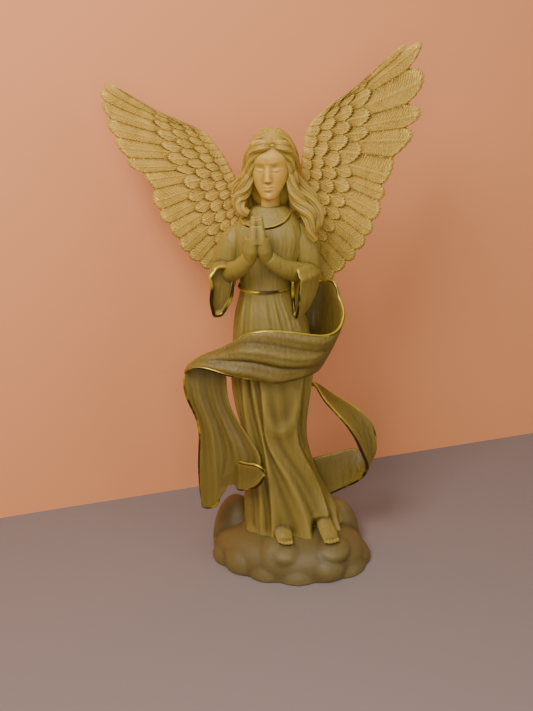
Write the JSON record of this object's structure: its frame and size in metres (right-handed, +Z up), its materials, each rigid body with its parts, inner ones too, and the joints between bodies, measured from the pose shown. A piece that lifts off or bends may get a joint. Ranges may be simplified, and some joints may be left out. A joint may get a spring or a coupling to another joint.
{
  "type": "praying angel figurine",
  "caption": "Praying angel figurine in frosted resin with spread wings, flowing robe and sash with gold-painted hems, standing on a cloud base.",
  "frame": {"origin": "middle of the flat underside of the cloud base", "axes": "+Z up, the angel faces -Y, its own left is +X"},
  "size_m": [0.183, 0.0738, 0.3005],
  "materials": {
    "frosted_resin": "frosted translucent honey-olive resin",
    "wing_resin": "rough brown-beige resin with traces of gold on the feather edges"
  },
  "bodies": {
    "root": {"robed_figure_on_cloud": "frosted_resin", "right_wing": "wing_resin", "left_wing": "wing_resin"}
  },
  "joints": []
}
